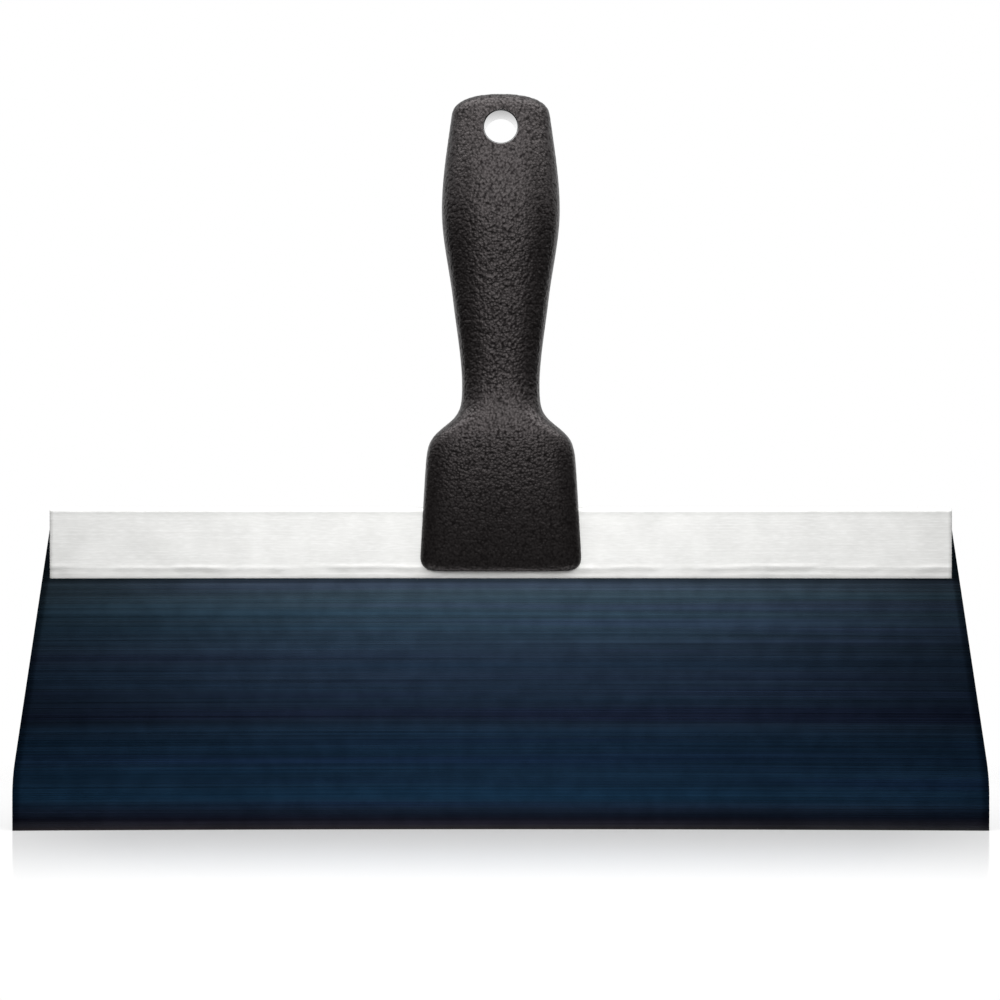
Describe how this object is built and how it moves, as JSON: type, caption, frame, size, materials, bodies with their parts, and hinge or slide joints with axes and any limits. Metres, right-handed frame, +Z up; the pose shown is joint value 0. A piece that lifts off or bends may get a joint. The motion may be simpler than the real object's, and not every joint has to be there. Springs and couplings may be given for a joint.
{
  "type": "flexible filling knife",
  "caption": "Wide flexible filling knife: a blued spring-steel blade clamped in a folded metal backing, with a moulded grip handle and a hang hole, for spreading filler and jointing compound.",
  "frame": {"origin": "centre of the hang hole, half way through the handle", "axes": "+X along the working edge to the right as seen from the front, +Y from the front face to the back along the hang hole, +Z up along the handle, with the blade hanging down"},
  "size_m": [0.3048, 0.022, 0.23],
  "materials": {
    "blued_spring_steel": "blued, with fine lines along the width",
    "folded_aluminium": "mill finish sheet, satin",
    "rivet_steel": "plain",
    "grained_plastic": "moulded leather grain"
  },
  "bodies": {
    "root": {"blade": "blued_spring_steel", "backing": "folded_aluminium", "blade_rivets": "rivet_steel", "handle": "grained_plastic"}
  },
  "joints": []
}
